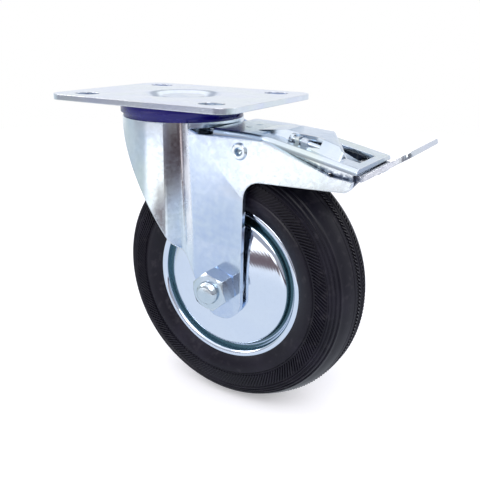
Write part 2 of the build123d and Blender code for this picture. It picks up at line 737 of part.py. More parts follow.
def make_brake_shoe():
    """Arm under the lever, web, pad curved to the tyre and a tongue for the adjuster."""
    inner = wheel_radius + shoe_gap_locked
    outer = inner + shoe_sheet
    angles = (shoe_from, (shoe_from + shoe_to) / 2, shoe_to)
    pad = make_face([ThreePointArc(*[on_wheel(inner, angle) for angle in angles]),
                     ThreePointArc(*[on_wheel(outer, angle) for angle in angles]),
                     Line(on_wheel(inner, shoe_from), on_wheel(outer, shoe_from)),
                     Line(on_wheel(inner, shoe_to), on_wheel(outer, shoe_to))])
    front, rear = shoe_arm_front_x, shoe_arm_rear_x
    arm = polygon((front, shoe_under(front)), (rear, shoe_under(rear)),
                  (rear, shoe_under(rear) - shoe_sheet), (front, shoe_under(front) - shoe_sheet))
    web = polygon((front, shoe_under(front) - 1), (front + shoe_sheet, shoe_under(front) - 1),
                  on_wheel(outer - 0.2, shoe_to - 2), on_wheel(inner, shoe_to))
    shoe = side_prism(arm, shoe_half_width)
    shoe += [side_prism(pad, shoe_half_width), side_prism(web, shoe_half_width)]
    top = lever_line(rear) + adjuster_lift + adjuster_nut_half
    tongue = polygon((rear - shoe_sheet, shoe_under(rear) - 1), (rear, shoe_under(rear) - 1), (rear, top),
                     (rear - shoe_sheet, top))
    shoe += Pos(0, adjuster_y, 0) * side_prism(tongue, adjuster_nut_half)
    return shoe - lever_place(rear, adjuster_y, adjuster_lift) * Rot(0, 90, 0) * Cylinder(
        adjuster_radius + 0.1, 4 * shoe_sheet)


def make_adjusting_screw():
    """Screw lying in the lever's slot with its head to the front."""
    length = (adjuster_rear_x - adjuster_front_x - 2 * adjuster_end_gap) / cos(lever_slope)
    screw = Cylinder(adjuster_radius, length, align=(Align.CENTER, Align.CENTER, Align.MIN))
    screw += Cylinder(adjuster_head_radius, adjuster_head_length,
                      align=(Align.CENTER, Align.CENTER, Align.MIN))
    front = adjuster_front_x + adjuster_end_gap
    return lever_place(front, adjuster_y, adjuster_lift) * Rot(0, 90, 0) * screw


def make_adjusting_nut():
    """Square nut behind the shoe's tongue."""
    nut = Box(adjuster_nut_length, 2 * adjuster_nut_half, 2 * adjuster_nut_half,
              align=(Align.MIN, Align.CENTER, Align.CENTER))
    nut -= Rot(0, 90, 0) * Cylinder(adjuster_radius, wide)
    return lever_place(shoe_arm_rear_x + 0.6, adjuster_y, adjuster_lift) * nut


# ---------------------------------------------------------------- pedal
def make_pedal():
    """Folded sheet: tread plate, wall closing the lever's end and two cheeks on the pin."""
    slope = tan(radians(pedal_slope))

    def under(x):
        return pedal_under_z + slope * (x - pedal_under_x)

    path = [(pedal_wall_x, pedal_wall_top), (pedal_wall_x, under(pedal_wall_x)),
            (pedal_end_x, under(pedal_end_x))]
    pedal = side_prism(bent_strip(path, pedal_sheet, pedal_bend), pedal_half_width)
    plan = polygon((lever_bend_x, -pedal_root_half_width), (pedal_widens_x, -pedal_root_half_width),
                   (pedal_widens_x, -pedal_half_width), (pedal_end_x, -pedal_half_width),
                   (pedal_end_x, pedal_half_width), (pedal_widens_x, pedal_half_width),
                   (pedal_widens_x, pedal_root_half_width), (lever_bend_x, pedal_root_half_width)).face()
    rear_corners = [v for v in plan.vertices() if v.X > pedal_end_x - 0.1]
    root_corners = [v for v in plan.vertices() if abs(v.X - pedal_widens_x) < 0.1]
    plan = plan.fillet_2d(pedal_corner, rear_corners).fillet_2d(0.8, root_corners)
    pedal &= Pos(0, 0, -wide) * extrude(plan, amount=2 * wide)
    jaw = stop_bar_radius + stop_bar_play + 1.25
    cheek = polygon((pedal_wall_x + 1, pedal_wall_top - 0.1), (pedal_pin_x + 1, pedal_pin_z + cheek_boss),
                    (pedal_pin_x - 1, pedal_pin_z + cheek_boss), (stop_bar_x - 0.6, stop_bar_z + jaw),
                    (stop_bar_x - jaw, stop_bar_z + 0.8 * jaw), (stop_bar_x - jaw, stop_bar_z - 1.6),
                    (stop_bar_x - 1.6, stop_bar_z - 2.4), (pedal_pin_x - 1, pedal_pin_z - cheek_boss),
                    (pedal_pin_x + 1.2, pedal_pin_z - cheek_boss),
                    (pedal_wall_x + 1, under(pedal_wall_x + 2)))
    cheeks = side_prism(cheek, pedal_root_half_width)
    cheeks -= Box(2 * wide, 2 * (pedal_root_half_width - pedal_sheet), 2 * wide)
    pedal += cheeks
    pedal -= across(pedal_pin_radius + hole_clearance, pedal_pin_x, pedal_pin_z, -wide, wide)
    return pedal - across(stop_bar_radius + stop_bar_play, stop_bar_x, stop_bar_z, -wide, wide)


def make_pedal_pin():
    return across(pedal_pin_radius, pedal_pin_x, pedal_pin_z, -lever_half_width, lever_half_width)


# ---------------------------------------------------------------- files
rim_disc = make_rim_disc()

save(make_top_plate(), "top_plate")
save(make_kingpin(), "kingpin")
save(make_kingpin_nut(), "kingpin_nut")
save(ball_ring(upper_ball_pitch, upper_ball_z, upper_ball_radius, upper_ball_count), "upper_balls")
save(ball_ring(lower_ball_pitch, lower_ball_z, lower_ball_radius, lower_ball_count), "lower_balls")
save(make_lock_cup(), "lock_cup")
save(make_seal_ring(), "seal_ring")
save(make_fork(), "fork")
save(make_axle_bolt(), "axle_bolt")
save(make_axle_nut(), "axle_nut")
save(make_axle_sleeve(), "axle_sleeve")
save(make_hub_washers(), "hub_washers")
save(make_hub_tube(), "hub_tube")
save(make_roller_cage(), "roller_cage")
save(make_hub_rollers(), "hub_rollers")
save(mirror(rim_disc, Plane.XZ), "rim_disc_near")
save(rim_disc, "rim_disc_far")
save(make_tyre(), "tyre")
save(make_brake_lever(), "brake_lever")
save(make_brake_pivot(), "brake_pivot")
save(make_stop_bar(), "stop_bar")
save(make_lock_leaf(), "lock_leaf")
save(make_leaf_rivets(), "leaf_rivets")
save(make_brake_shoe(), "brake_shoe")
save(make_adjusting_screw(), "adjusting_screw")
save(make_adjusting_nut(), "adjusting_nut")
save(make_pedal(), "pedal")
save(make_pedal_pin(), "pedal_pin")
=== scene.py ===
from math import cos, pi, radians

import bpy
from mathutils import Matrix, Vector


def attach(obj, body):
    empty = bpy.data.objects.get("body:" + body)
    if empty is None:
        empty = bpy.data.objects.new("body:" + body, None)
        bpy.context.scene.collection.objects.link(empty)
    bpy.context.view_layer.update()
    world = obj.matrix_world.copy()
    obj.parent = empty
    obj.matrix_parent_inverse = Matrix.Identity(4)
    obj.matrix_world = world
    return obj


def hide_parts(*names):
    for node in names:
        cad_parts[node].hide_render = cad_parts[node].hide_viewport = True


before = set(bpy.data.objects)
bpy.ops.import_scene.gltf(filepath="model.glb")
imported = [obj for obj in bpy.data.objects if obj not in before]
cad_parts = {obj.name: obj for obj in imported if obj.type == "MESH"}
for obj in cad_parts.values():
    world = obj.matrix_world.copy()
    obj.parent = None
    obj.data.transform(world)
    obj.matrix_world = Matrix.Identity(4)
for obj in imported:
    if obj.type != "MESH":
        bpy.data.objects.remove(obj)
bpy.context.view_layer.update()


# ---------------------------------------------------------------- top plate
# The mounting plate is blanked from 2.5 mm steel sheet with a pressed dish round the kingpin and
# four slots. It is zinc plated in a bright blue bath, so its colour drifts from lilac to green.
class Level:
    """A number that changes over a surface; arithmetic on it adds Math nodes."""

    def __init__(self, finish, socket):
        self.finish = finish
        self.socket = socket

    def __add__(self, other):
        return self.finish.math("ADD", self, other)

    def __sub__(self, other):
        return self.finish.math("SUBTRACT", self, other)

    def __rsub__(self, other):
        return self.finish.math("SUBTRACT", other, self)

    def __mul__(self, other):
        return self.finish.math("MULTIPLY", self, other)

    def __abs__(self):
        return self.finish.math("ABSOLUTE", self, 0)

    __radd__ = __add__
    __rmul__ = __mul__


class Finish:
    """One surface finish: a node material, built from what the real surface shows."""

    def __init__(self, name, **constants):
        self.material = bpy.data.materials.new(name)
        self.material.use_nodes = True
        self.tree = self.material.node_tree
        self.shader = self.tree.nodes["Principled BSDF"]
        for socket, value in constants.items():
            self.shader.inputs[socket.replace("_", " ")].default_value = value
        self.place = self.node("TexCoord").outputs["Object"]

    def node(self, kind, settings=None, sockets=None):
        """A node of any type: its settings first, then the values or links of its sockets."""
        node = self.tree.nodes.new("ShaderNode" + kind)
        for setting, value in (settings or {}).items():
            setattr(node, setting, value)
        for socket, value in (sockets or {}).items():
            self.feed(node.inputs[socket], value)
        return node

    def feed(self, socket, value):
        """Sets a socket to a value, or links it to a level or another node's socket."""
        if isinstance(value, Level):
            value = value.socket
        if isinstance(value, bpy.types.NodeSocket):
            self.tree.links.new(value, socket)
        else:
            socket.default_value = value

    def math(self, operation, first, second):
        """One Math node, as a level that can be worked on further."""
        node = self.node("Math", {"operation": operation}, {0: first, 1: second})
        return Level(self, node.outputs[0])

    def noise(self, size, detail=2.0, stretch=(1, 1, 1)):
        """Cloudy variation whose patches are about as wide as size, in metres."""
        drawn = self.node("Mapping", {}, {"Vector": self.place, "Scale": stretch})
        node = self.node("TexNoise", {}, {"Vector": drawn.outputs[0], "Scale": 1 / size, "Detail": detail})
        return Level(self, node.outputs["Fac"])

    def crystals(self, size):
        """Cells of slightly different level, as in a plated or cast grain."""
        rough = self.node("TexNoise", {}, {"Vector": self.place, "Scale": 2.5 / size})
        bent = self.node("MixRGB", {"blend_type": "ADD"},
                         {"Fac": 0.4 * size, "Color1": self.place, "Color2": rough.outputs["Color"]})
        node = self.node("TexVoronoi", {}, {"Vector": bent.outputs[0], "Scale": 1 / size})
        shade = self.node("SeparateColor", {}, {"Color": node.outputs["Color"]})
        return Level(self, shade.outputs[0])

    def band(self, level, low, high):
        """0 where the level is past low and 1 where it is past high, with a smooth step between."""
        node = self.node("MapRange", {"interpolation_type": "SMOOTHSTEP"},
                         {"Value": level, "From Min": low, "From Max": high})
        return Level(self, node.outputs["Result"])

    def strip(self, level, start, whole, fading, end):
        """1 from whole to fading, and 0 before start and after end."""
        return self.band(level, start, whole) * self.band(level, end, fading)

    def blend(self, share, first, second):
        """A colour between two others."""
        node = self.node("Mix", {"data_type": "RGBA"}, {0: share, 6: first, 7: second})
        return node.outputs[2]

    def axis(self, name):
        """How far along X, Y or Z a point lies, in metres."""
        node = self.node("SeparateXYZ", {}, {"Vector": self.place})
        return Level(self, node.outputs[name])

    def length(self, vector):
        """How long a vector is, in metres."""
        node = self.node("VectorMath", {"operation": "LENGTH"}, {0: vector})
        return Level(self, node.outputs["Value"])

    def rounded(self, radius):
        """The normal with edges rounded over, and how much of an edge lies here."""
        bevel = self.node("Bevel", {"samples": 4}, {"Radius": radius})
        true = self.node("NewGeometry").outputs["Normal"]
        dot = self.node("VectorMath", {"operation": "DOT_PRODUCT"}, {0: bevel.outputs[0], 1: true})
        edge = self.band(1 - Level(self, dot.outputs["Value"]), 0.002, 0.12)
        return bevel.outputs[0], edge

    def bump(self, height, distance, normal=None):
        """Raises the surface by height times distance, in metres."""
        sockets = {"Height": height, "Distance": distance, "Strength": 1.0}
        if normal is not None:
            sockets["Normal"] = normal
        return self.node("Bump", {}, sockets).outputs[0]

    def show(self, colour, roughness, normal=None):
        """Feeds the shader and returns the material."""
        self.feed(self.shader.inputs["Base Color"], colour)
        self.feed(self.shader.inputs["Roughness"], roughness)
        if normal is not None:
            self.feed(self.shader.inputs["Normal"], normal)
        return self.material


class Zinc(Finish):
    """Bright zinc plate: fine mottled crystals, drifting tint, handling marks and bare bright edges."""

    passivated = (0.34, 0.40, 0.52, 1)
    bare = (0.93, 0.93, 0.94, 1)

    def __init__(self, name, pale, tint, second_tint, gloss, edge=0.0005, ripple=0.00007):
        super().__init__(name, Metallic=1.0)
        smooth_edge, edge_share = self.rounded(edge)
        cloud = self.band(self.noise(0.016, 3), 0.35, 0.65)
        drift = self.band(self.noise(0.030, 2, (1, 1.3, 0.8)), 0.42, 0.62)
        cells = self.crystals(0.0014)
        mottle = self.noise(0.0030, 4)
        scuff = self.band(self.noise(0.0012, 4, (1, 1, 3.2)), 0.58, 0.74)
        colour = self.blend(cloud, pale, tint)
        colour = self.blend(drift * 0.7, colour, second_tint)
        colour = self.blend(0.06 * cells + 0.12 * mottle, colour, self.passivated)
        self.colour = self.blend(edge_share * 0.8, colour, self.bare)
        self.roughness = gloss + 0.05 * cells + 0.05 * mottle + 0.05 * scuff - 0.05 * edge_share
        waves = self.bump(self.noise(0.012, 1), ripple, smooth_edge)
        self.normal = self.bump(0.5 * cells + 0.5 * mottle, 0.000008, waves)

    def plated(self):
        """The material, with whatever was added to colour and roughness since."""
        return self.show(self.colour, self.roughness, self.normal)


def dress(material, *nodes):
    """Gives carried-over solids their finish, with their loose triangles welded."""
    for name in nodes:
        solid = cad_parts[name]
        solid.data.materials.clear()
        solid.data.materials.append(material)
        weld = solid.modifiers.new("weld", "WELD")
        weld.merge_threshold = 0.000005


plate_zinc = Zinc("plate_zinc", pale=(0.80, 0.85, 0.94, 1), tint=(0.74, 0.80, 0.95, 1),
                  second_tint=(0.78, 0.86, 0.86, 1), gloss=0.12).plated()
dress(plate_zinc, "top_plate")


# ---------------------------------------------------------------- kingpin and lock cup
# The kingpin is a turned rivet with a nut under the crown that holds the head's two ball tracks
# together. The lock cup is a notched cup of sheet steel. Both are barrel plated.
fastener_zinc = Zinc("fastener_zinc", pale=(0.76, 0.82, 0.88, 1), tint=(0.62, 0.72, 0.80, 1),
                     second_tint=(0.64, 0.72, 0.88, 1), gloss=0.14, edge=0.0003).plated()
dress(fastener_zinc, "kingpin", "kingpin_nut", "lock_cup")


# ---------------------------------------------------------------- fork
# One piece, deep drawn from 2.5 mm sheet: crown with the ball tracks, round front, two legs and
# two ears. It is plated after drawing; the sheet shows soft waves, and its cut edges are bright.
fork = Zinc("fork_zinc", pale=(0.76, 0.84, 0.95, 1), tint=(0.68, 0.78, 0.94, 1),
            second_tint=(0.76, 0.86, 0.88, 1), gloss=0.12, edge=0.0006, ripple=0.00003)
behind = fork.axis("X")
height = fork.axis("Z")
on_side = fork.band(abs(fork.axis("Y")), 0.017, 0.019)
# Painted reflection: the pressed valleys are painted dark brown, for the dark that they reflect.
valley = (0.0090, 0.0120, 0.0146, 0.0160)
painted_valley_brown = (0.26, 0.19, 0.19, 1)
painted_valley_reflection = fork.strip(behind, *valley) * fork.band(height, -0.052, -0.018) * on_side
fork.colour = fork.blend(painted_valley_reflection * 0.75, fork.colour, painted_valley_brown)
# Painted reflection: the flat legs are painted a darker blue, in fine clouds, for the darker light they
# reflect.
leg = (0.0180, 0.0200, 0.0360, 0.0560)
painted_leg_blue = (0.54, 0.64, 0.84, 1)
clouds = 0.5 + 0.5 * fork.band(fork.noise(0.003, 5), 0.2, 0.8)
fork.colour = fork.blend(fork.strip(behind, *leg) * on_side * clouds, fork.colour, painted_leg_blue)
# Painted highlight: the ridges between them are painted white and made less metallic, unevenly and less
# towards the axle.
ridge = (0.0146, 0.0164, 0.0180, 0.0200)
painted_ridge_white = (0.97, 0.98, 1.0, 1)
painted_ridge_highlight = fork.strip(behind, *ridge) * fork.band(height, -0.080, -0.050) * on_side
painted_ridge_highlight = painted_ridge_highlight * (0.5 + 0.5 * fork.band(fork.noise(0.004, 4, (1, 1, 0.3)), 0.35, 0.6))
fork.colour = fork.blend(painted_ridge_highlight * 0.7, fork.colour, painted_ridge_white)
fork.roughness = fork.roughness + 0.2 * painted_ridge_highlight
fork.feed(fork.shader.inputs["Metallic"], 1 - 0.65 * painted_ridge_highlight)
dress(fork.plated(), "fork")


# ---------------------------------------------------------------- seal ring
# A moulded ring of navy polyethylene covers the upper ball track. It is glossy, with faint flow
# marks and slightly paler edges.
navy = (0.006, 0.003, 0.130, 1)
navy_flow = (0.012, 0.007, 0.230, 1)
navy_edge = (0.05, 0.05, 0.40, 1)
seal = Finish("seal_plastic", IOR=1.5, Specular_IOR_Level=0.4, Coat_Weight=0.15, Coat_Roughness=0.08)
seal_smooth, seal_edge = seal.rounded(0.0004)
seal_flow = seal.noise(0.006, 3, (1, 1, 4))
seal_colour = seal.blend(seal_edge * 0.5, seal.blend(seal_flow * 0.8, navy, navy_flow), navy_edge)
seal_plastic = seal.show(seal_colour, 0.20 + 0.12 * seal_flow, seal.bump(seal_flow, 0.00006, seal_smooth))
dress(seal_plastic, "seal_ring")


# ---------------------------------------------------------------- balls
# Two rings of hardened balls run in grease between plate, crown and kingpin. They are ground
# bright; the grease leaves a brownish film in places.
ground_steel = (0.72, 0.73, 0.75, 1)
grease_brown = (0.45, 0.38, 0.28, 1)
ball = Finish("ball_steel", Metallic=1.0)
film = ball.band(ball.noise(0.003, 3), 0.45, 0.65)
ball_colour = ball.blend(film, ground_steel, grease_brown)
ball_steel = ball.show(ball_colour, 0.10 + 0.22 * film, ball.bump(film, 0.00001))
dress(ball_steel, "upper_balls", "lower_balls")


# ---------------------------------------------------------------- tyre
# A solid tyre of black rubber, cured on a tongue between the discs. Its walls carry a smooth
# bead, a ring of fine slanted ribs and four raised lines; the tread has two finer ribbed bands.
axle = Vector((0.0338, 0, -0.0843997))
tyre_radius = 0.0625


def pick(piece):
    """Selects one piece alone, for the operators that follow."""
    bpy.ops.object.select_all(action="DESELECT")
    piece.select_set(True)
    bpy.context.view_layer.objects.active = piece


def settle(piece):
    """Leaves a piece's object at the origin, with its place in its mesh."""
    pick(piece)
    bpy.ops.object.transform_apply(location=True, rotation=True, scale=True)


def smooth(piece, crease):
    """Shades a piece smooth, except where it turns by more than crease, in degrees."""
    pick(piece)
    bpy.ops.object.shade_smooth_by_angle(angle=radians(crease))


def fit(piece, material, body):
    """Gives a new piece its finish and fastens it to the body that carries it."""
    piece.data.materials.clear()
    piece.data.materials.append(material)
    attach(piece, body)


def turned(name, outline, centre, steps, axis=(0, 1, 0)):
    """A turned piece: outline points (distance from the axis, place along it), spun round."""
    points = [Vector(centre) + Vector((1, 0, 0)) * r + Vector(axis) * a for r, a in outline]
    bpy.ops.object.select_all(action="DESELECT")
    bpy.ops.mesh.primitive_plane_add(size=0.0001, location=points[0])
    piece = bpy.context.object
    piece.name = name
    bpy.ops.object.mode_set(mode="EDIT")
    bpy.ops.mesh.merge(type="CENTER")
    for before, after in zip(points, points[1:]):
        bpy.ops.mesh.extrude_vertices_move(TRANSFORM_OT_translate={"value": after - before})
    bpy.ops.mesh.select_all(action="SELECT")
    bpy.ops.mesh.spin(steps=steps, angle=2 * pi, center=centre, axis=axis)
    bpy.ops.mesh.select_all(action="SELECT")
    bpy.ops.mesh.remove_doubles(threshold=0.000002)
    bpy.ops.mesh.select_all(action="SELECT")
    bpy.ops.mesh.normals_make_consistent(inside=False)
    bpy.ops.object.mode_set(mode="OBJECT")
    settle(piece)
    return piece


# Half the outline, from the disc's lip out to the middle of the tread
bead = [(0.0380, 0.01405), (0.0386, 0.01445), (0.0396, 0.0151), (0.0412, 0.0160), (0.0430, 0.0167),
        (0.0445, 0.01705), (0.0456, 0.0170), (0.0461, 0.0166), (0.0463, 0.0163)]
ribbed_wall = [(0.0480, 0.01635), (0.0500, 0.0163), (0.0520, 0.01615), (0.0533, 0.0159)]
raised_lines = [(0.0536, 0.0161), (0.0538, 0.0164), (0.0542, 0.0163), (0.0544, 0.0159), (0.0547, 0.0155),
                (0.0550, 0.0154), (0.0552, 0.0157), (0.0556, 0.0156), (0.0558, 0.0152), (0.0561, 0.0147),
                (0.0564, 0.0145), (0.0566, 0.0148), (0.0570, 0.0146), (0.0572, 0.0141), (0.0575, 0.0136),
                (0.0578, 0.0133), (0.0580, 0.0135), (0.0584, 0.0132), (0.0586, 0.0126), (0.0588, 0.0121)]
shoulder = [(0.0594, 0.0112), (0.0602, 0.0096), (0.0608, 0.0083), (0.0613, 0.0068), (0.0615, 0.0063),
            (0.06125, 0.0060), (0.0616, 0.0057)]
tread = [(0.0619, 0.0049), (0.0621, 0.0045), (0.06165, 0.0042), (0.0617, 0.0016), (0.0624, 0.0014),
         (0.06245, 0.0011), (0.0622, 0.0009), (0.0625, 0.0006), (0.0622, 0.0004)]
half = bead + ribbed_wall + raised_lines + shoulder + tread
tongue = [(0.0375, 0.0122), (0.0368, 0.0080), (0.0320, 0.0080)]
outline = [(r, -y) for r, y in half] + [(tyre_radius, 0)] + [(r, y) for r, y in reversed(half)]
outline += tongue + [(r, -y) for r, y in reversed(tongue)] + outline[:1]
tyre = turned("tyre_body", outline, axle, steps=192)
smooth(tyre, crease=24)


def rib(size, place, turn):
    """A small bar of rubber, sunk in the wall or tread so that its top stands out."""
    bpy.ops.object.select_all(action="DESELECT")
    bpy.ops.mesh.primitive_cube_add(size=1, location=place, rotation=turn)
    bpy.context.object.scale = size
    settle(bpy.context.object)
    return bpy.context.object


def repeat_round_axle(name, ribs, count):
    """Copies each rib round the axle and joins all of them to one piece."""
    for piece in ribs:
        pick(piece)
        bpy.ops.object.mode_set(mode="EDIT")
        bpy.ops.mesh.select_all(action="SELECT")
        bpy.ops.mesh.spin(steps=count - 1, dupli=True, angle=2 * pi * (count - 1) / count, center=axle,
                          axis=(0, 1, 0))
        bpy.ops.object.mode_set(mode="OBJECT")
    for piece in ribs:
        piece.select_set(True)
    bpy.context.view_layer.objects.active = ribs[0]
    bpy.ops.object.join()
    bpy.context.object.name = name
    bpy.ops.object.shade_flat()
    return bpy.context.object


wall_rib = (0.000475, 0.0010, 0.00736)
wall_lean = radians(2)
wall_slant = radians(40)
wall_ribs = [rib(wall_rib, axle + Vector((0, side * 0.01655, 0.0498)), (side * wall_lean, wall_slant, 0))
             for side in (-1, 1)]
wall_ribs = repeat_round_axle("tyre_wall_ribs", wall_ribs, count=186)
tread_rib = (0.000475, 0.002295, 0.0009)
tread_slant = radians(35)
tread_ribs = [rib(tread_rib, axle + Vector((0, side * 0.0029, 0.0620)), (0, 0, side * tread_slant))
              for side in (-1, 1)]
tread_ribs = repeat_round_axle("tyre_tread_ribs", tread_ribs, count=230)

rubber = Finish("tyre_rubber", IOR=1.5, Specular_IOR_Level=0.24)
bloom = rubber.band(rubber.noise(0.02, 4), 0.45, 0.75)
pores = rubber.noise(0.0006, 3)
dust = rubber.band(rubber.noise(0.0035, 5), 0.55, 0.72)
black = rubber.blend(bloom, (0.007, 0.006, 0.012, 1), (0.014, 0.012, 0.022, 1))
dusty_black = rubber.blend(dust * 0.25, black, (0.06, 0.055, 0.065, 1))
black_rubber = rubber.show(dusty_black, 0.34 + 0.10 * bloom + 0.10 * dust, rubber.bump(pores, 0.00003))
for piece in (tyre, wall_ribs, tread_ribs):
    fit(piece, black_rubber, "wheel")
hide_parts("tyre")


# ---------------------------------------------------------------- rim discs
# Two discs pressed from 1.5 mm sheet: a lip that grips the tyre, a narrow groove and a domed
# centre round the hub. They are bright zinc; the groove's bottom is painted dark teal, as painted shade.
lip = [(0.0385, 0.0128), (0.0387, 0.0134), (0.0384, 0.0141), (0.0377, 0.01445), (0.0367, 0.01445),
       (0.0359, 0.0140), (0.0354, 0.0132), (0.0350, 0.0113)]
groove = [(0.0347, 0.0102), (0.0341, 0.0097), (0.0334, 0.0099), (0.0329, 0.0106), (0.0323, 0.0124),
          (0.0319, 0.0132), (0.0313, 0.0137)]
dome_radius = 0.200
dome_top = 0.016308
dome = [(r, dome_top - r ** 2 / (2 * dome_radius))
        for r in (0.0306, 0.0290, 0.0265, 0.0240, 0.0210, 0.0180, 0.0150, 0.0130, 0.0111)]
back = [(0.0111, 0.0147), (0.0150, 0.0144), (0.0253, 0.0130), (0.0300, 0.0122), (0.0310, 0.0115),
        (0.0322, 0.0088), (0.0341, 0.0083), (0.0355, 0.0088), (0.0362, 0.0115), (0.0370, 0.0129),
        (0.0378, 0.0128)]
disc_outline = lip + groove + dome + back + lip[:1]

groove_bottom = (0.0316, 0.0320, 0.0333, 0.0340)
painted_groove_teal = (0.03, 0.10, 0.11, 1)
disc = Finish("disc_zinc", Metallic=1.0)
disc_cloud = disc.noise(0.018, 3)
disc_mottle = disc.noise(0.0025, 4)
disc_colour = disc.blend(disc_cloud, (0.80, 0.87, 0.97, 1), (0.72, 0.80, 0.95, 1))
disc_colour = disc.blend(0.10 * disc_mottle, disc_colour, (0.36, 0.42, 0.52, 1))
from_axle = disc.node("VectorMath", {"operation": "SUBTRACT"}, {0: disc.place, 1: axle})
in_plane = disc.node("VectorMath", {"operation": "MULTIPLY"}, {0: from_axle.outputs[0], 1: (1, 0, 1)})
radius = disc.length(in_plane.outputs[0])
in_groove = disc.strip(radius, *groove_bottom)
# Painted shade: the bottom of the groove is painted dark teal.
disc_colour = disc.blend(in_groove * 0.93, disc_colour, painted_groove_teal)
spun_rings = disc.math("SINE", radius * 5200.0, 0) * 0.3
disc_normal = disc.bump(0.5 * disc_mottle + spun_rings, 0.000006)
disc_zinc = disc.show(disc_colour, 0.045 + 0.06 * disc_mottle + 0.15 * in_groove, disc_normal)
for node, side in (("rim_disc_near", -1), ("rim_disc_far", 1)):
    rim = turned(node + "_pressing", [(r, side * y) for r, y in disc_outline], axle, steps=160)
    smooth(rim, crease=50)
    fit(rim, disc_zinc, "wheel")
    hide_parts(node)


# ---------------------------------------------------------------- hub
# The hub tube is pressed between the discs; rollers in a moulded cage run on a hardened sleeve,
# with a washer at each end.
cage = Finish("cage_plastic", IOR=1.5)
cage_shade = cage.noise(0.004, 4)
cage_colour = cage.blend(cage_shade, (0.03, 0.03, 0.035, 1), (0.07, 0.07, 0.075, 1))
dress(cage.show(cage_colour, 0.35 + 0.2 * cage_shade, cage.bump(cage_shade, 0.00004)), "roller_cage")
dress(ball_steel, "hub_rollers", "axle_sleeve")
dress(fastener_zinc, "hub_tube", "hub_washers")


# ---------------------------------------------------------------- axle bolt and nut
# An M10 hexagon bolt through both legs, closed by a hexagon nut with chamfered corners. Both are
# cold formed and barrel plated; two threads stand out of the nut.
leg_outside = 0.0202
nut_end = 0.0295
bolt_end = 0.0326
head_end = 0.0266
thread_radius = 0.0050
thread_root = 0.0045
thread_pitch = 0.0015
bore_radius = 0.0048
countersink_radius = 0.0057
past_face = 0.0005
into_head = 0.0003


def cut(piece, tool, how):
    """Keeps what the two have in common, or takes the tool away, and deletes the tool."""
    pick(piece)
    change = piece.modifiers.new("cut", "BOOLEAN")
    change.operation = how
    change.object = tool
    bpy.ops.object.modifier_apply(modifier="cut")
    bpy.data.objects.remove(tool)


def hexagon(name, across_flats, near, far, turn):
    """A hexagon block on the axle from near to far, its corners turned off to a chamfer."""
    corner = across_flats / 2 / cos(pi / 6)
    chamfer = 0.0011
    spare = 0.001
    bpy.ops.object.select_all(action="DESELECT")
    bpy.ops.mesh.primitive_cylinder_add(vertices=6, radius=corner, depth=far - near + 2 * spare,
                                        location=axle + Vector((0, (near + far) / 2, 0)),
                                        rotation=(pi / 2, turn, 0))
    block = bpy.context.object
    block.name = name
    settle(block)
    face = across_flats / 2 - 0.0002
    rim = corner + 0.0001
    cone = turned(name + "_cone", [(0, near), (face, near), (rim, near + chamfer), (rim, far - chamfer),
                                   (face, far), (0, far)], axle, steps=96)
    cut(block, cone, "INTERSECT")
    return block


nut = hexagon("axle_nut_formed", 0.0163, -nut_end, -leg_outside, turn=radians(-12))
bore_outline = [(0, -nut_end - past_face), (countersink_radius, -nut_end - past_face),
                (bore_radius, -0.0288), (bore_radius, past_face - leg_outside), (0, past_face - leg_outside)]
cut(nut, turned("nut_bore", bore_outline, axle, steps=64), "DIFFERENCE")
shank = [(0, -bolt_end), (0.0034, -0.03255), (0.0041, -0.0323), (0.0046, -0.0318), (thread_radius, -0.0314),
         (thread_radius, -0.0312)]
for groove_start in (-0.0308, -0.0308 + thread_pitch):
    shank += [(thread_root, groove_start), (thread_root, groove_start + 0.0002),
              (thread_radius, groove_start + 0.0008), (thread_radius, groove_start + 0.0010)]
shank += [(thread_radius, leg_outside + into_head), (0, leg_outside + into_head)]
bolt = turned("axle_bolt_shank", shank, axle, steps=64)
bolt_head = hexagon("axle_bolt_head", 0.0170, leg_outside, head_end, turn=radians(8))
for piece, node in ((nut, "axle_nut"), (bolt, "axle_bolt"), (bolt_head, "axle_bolt")):
    smooth(piece, crease=30)
    fit(piece, fastener_zinc, "swivel_fork")
    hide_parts(node)


# ---------------------------------------------------------------- brake lever
# A pressed channel hinged between the ears, with a humped roof, a slot for the adjuster and a
# window near its rear. A spring leaf riveted under its front drops into the lock cup.
# Colours of the painted shade inside the channel and along its sides' low edges.
painted_inside_shade = (0.05, 0.07, 0.11, 1)
painted_low_edge_navy = (0.05, 0.07, 0.14, 1)
roof_bend = 0.0537
roof_slope = 0.216
roof_top = -0.0123
lever = Zinc("lever_zinc", pale=(0.72, 0.80, 0.90, 1), tint=(0.62, 0.72, 0.86, 1),
             second_tint=(0.76, 0.84, 0.76, 1), gloss=0.15)
roof_fall = lever.math("MAXIMUM", lever.axis("X") - roof_bend, 0.0) * roof_slope
under_roof = roof_top - roof_fall - lever.axis("Z")
# Painted shade: the channel's inside is painted dark, and the low edges of its sides dark navy in patches.
inside = lever.band(under_roof, 0.0014, 0.0030) * lever.band(abs(lever.axis("Y")), 0.0194, 0.0190)
low_edge = lever.band(under_roof, 0.0027, 0.0045) * lever.band(lever.axis("X"), 0.056, 0.060)
low_edge = low_edge * lever.band(lever.noise(0.0022, 4), 0.34, 0.54)
lever.colour = lever.blend(inside * 0.88, lever.colour, painted_inside_shade)
lever.colour = lever.blend(low_edge * 0.85, lever.colour, painted_low_edge_navy)
lever.roughness = lever.roughness + 0.2 * inside + 0.15 * low_edge
lever_zinc = lever.plated()
dress(lever_zinc, "brake_lever", "lock_leaf", "brake_shoe", "pedal_pin", "stop_bar")
dress(fastener_zinc, "adjusting_screw", "adjusting_nut", "brake_pivot")

# The pivot rivet is drilled only at its ends, where it was flared.
drill_point = [(0, 0.0202), (0.00195, 0.0213)]
core_outline = [(r, -y) for r, y in drill_point] + [(r, y) for r, y in reversed(drill_point)]
pivot_core = turned("brake_pivot_core", core_outline, Vector((0.0457, 0, -0.0194)), steps=40)
fit(pivot_core, fastener_zinc, "swivel_fork")

